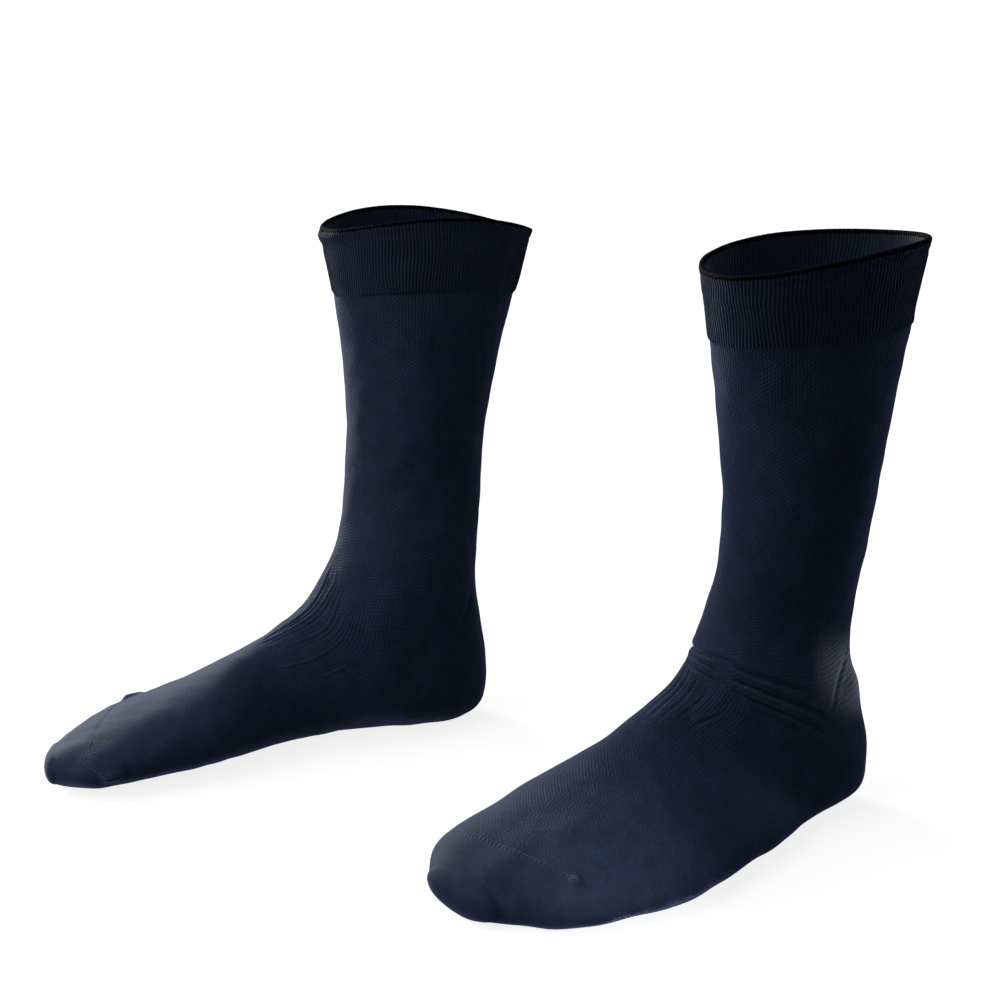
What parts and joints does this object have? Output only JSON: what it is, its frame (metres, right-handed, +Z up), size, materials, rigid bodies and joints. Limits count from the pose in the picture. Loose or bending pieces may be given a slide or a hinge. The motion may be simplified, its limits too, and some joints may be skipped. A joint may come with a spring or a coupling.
{
  "type": "pair of socks",
  "caption": "Pair of plain fine-knit crew socks as worn: wide ribbed cuffs, turned heels and seamed toes, in hollow cloth walls that keep the form of standing feet.",
  "frame": {"origin": "in the middle of the left cuff, 280 mm above the soles, where the left calf holds the cuff", "axes": "+Z up along the legs, -Y towards the toes, +X towards the left sock's outer side; the right sock stands at -X and a little further towards -Y"},
  "size_m": [0.3614, 0.3866, 0.3125],
  "materials": {
    "rib_knit": "soft doubled rib knit, matt",
    "plain_knit": "fine plain knit, matt with a faint nap",
    "pocket_knit": "close plain knit, matt"
  },
  "bodies": {
    "root": {"right_cuff": "rib_knit", "right_leg": "plain_knit", "right_heel": "pocket_knit", "right_foot": "plain_knit", "right_toe": "pocket_knit", "left_cuff": "rib_knit", "left_leg": "plain_knit", "left_heel": "pocket_knit", "left_foot": "plain_knit", "left_toe": "pocket_knit"}
  },
  "joints": []
}
